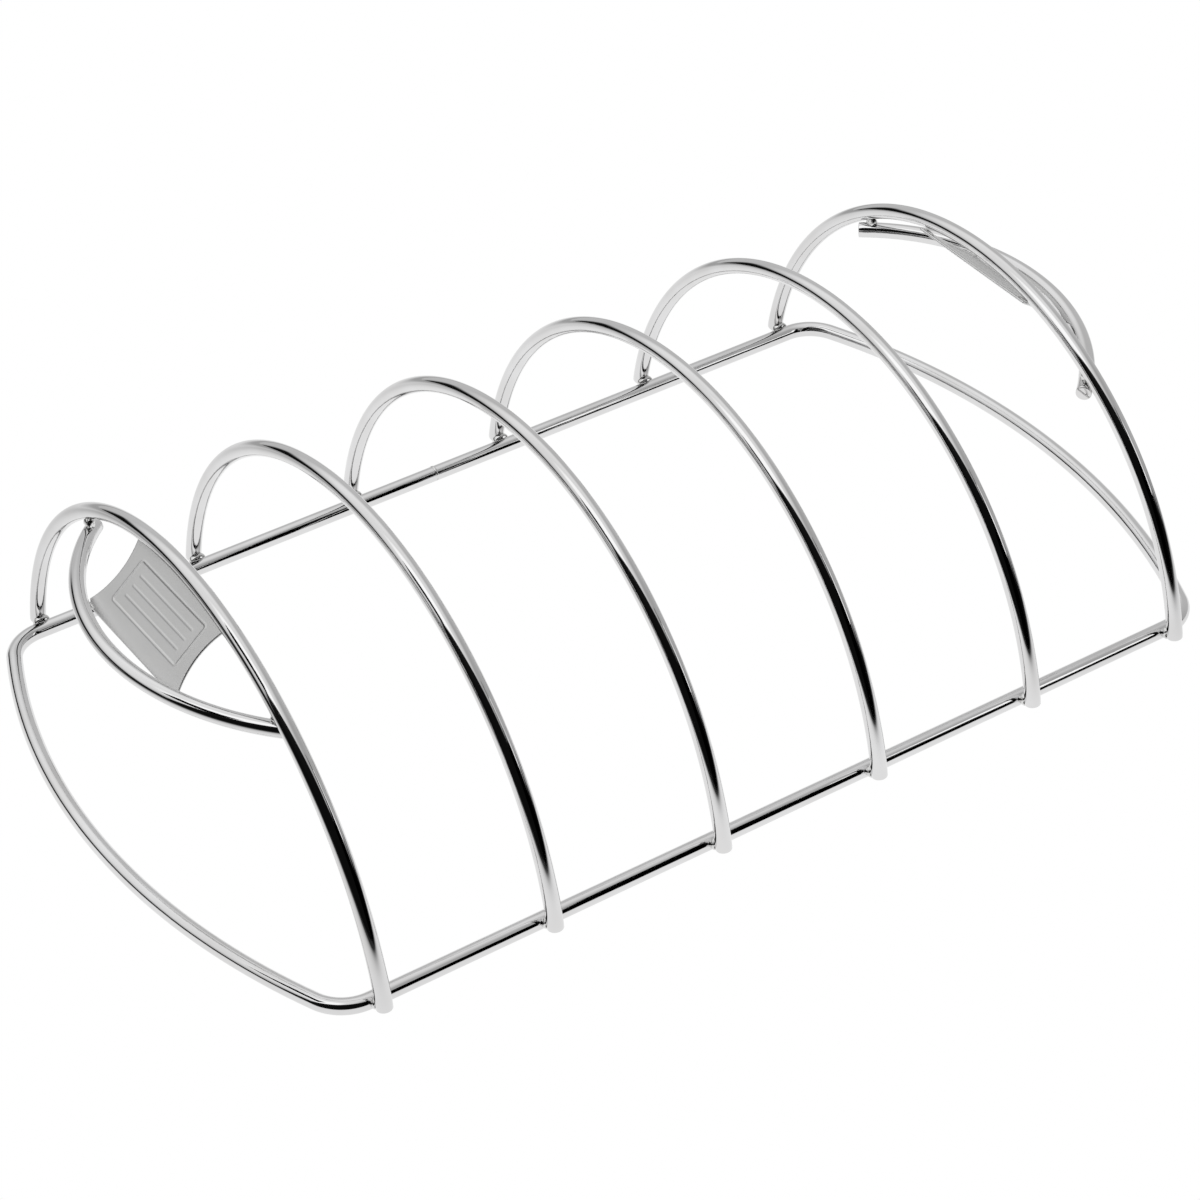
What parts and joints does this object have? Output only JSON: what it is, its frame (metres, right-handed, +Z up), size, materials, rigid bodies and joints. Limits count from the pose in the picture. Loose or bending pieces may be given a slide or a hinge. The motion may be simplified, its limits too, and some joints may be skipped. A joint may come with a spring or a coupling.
{
  "type": "wire rib rack",
  "caption": "Chrome wire rack of round arches on an open base ring; food stands in the slots, with a bow handle and small sheet plate at each end.",
  "frame": {"origin": "on the standing plane, below the middle of the rack", "axes": "+X along the rack, square to the slots; +Y across the rack, along the slots; +Z up"},
  "size_m": [0.3422, 0.2046, 0.09],
  "materials": {
    "chrome_wire": "polished",
    "satin_plate": "satin",
    "weld_metal": "bright"
  },
  "bodies": {
    "root": {"base_ring": "chrome_wire", "arch_1": "chrome_wire", "arch_2": "chrome_wire", "arch_3": "chrome_wire", "arch_4": "chrome_wire", "arch_5": "chrome_wire", "arch_6": "chrome_wire", "handle_bow_left": "chrome_wire", "handle_bow_right": "chrome_wire", "end_plate_left": "satin_plate", "end_plate_right": "satin_plate", "foot_weld_1_front": "weld_metal", "foot_weld_1_back": "weld_metal", "foot_weld_2_front": "weld_metal", "foot_weld_2_back": "weld_metal", "foot_weld_3_front": "weld_metal", "foot_weld_3_back": "weld_metal", "foot_weld_4_front": "weld_metal", "foot_weld_4_back": "weld_metal", "foot_weld_5_front": "weld_metal", "foot_weld_5_back": "weld_metal", "foot_weld_6_front": "weld_metal", "foot_weld_6_back": "weld_metal", "bow_weld_left_front": "weld_metal", "bow_weld_left_back": "weld_metal", "bow_weld_right_front": "weld_metal", "bow_weld_right_back": "weld_metal", "plate_weld_left_front_upper": "weld_metal", "plate_weld_left_front_lower": "weld_metal", "plate_weld_left_back_upper": "weld_metal", "plate_weld_left_back_lower": "weld_metal", "plate_weld_right_front_upper": "weld_metal", "plate_weld_right_front_lower": "weld_metal", "plate_weld_right_back_upper": "weld_metal", "plate_weld_right_back_lower": "weld_metal"}
  },
  "joints": []
}
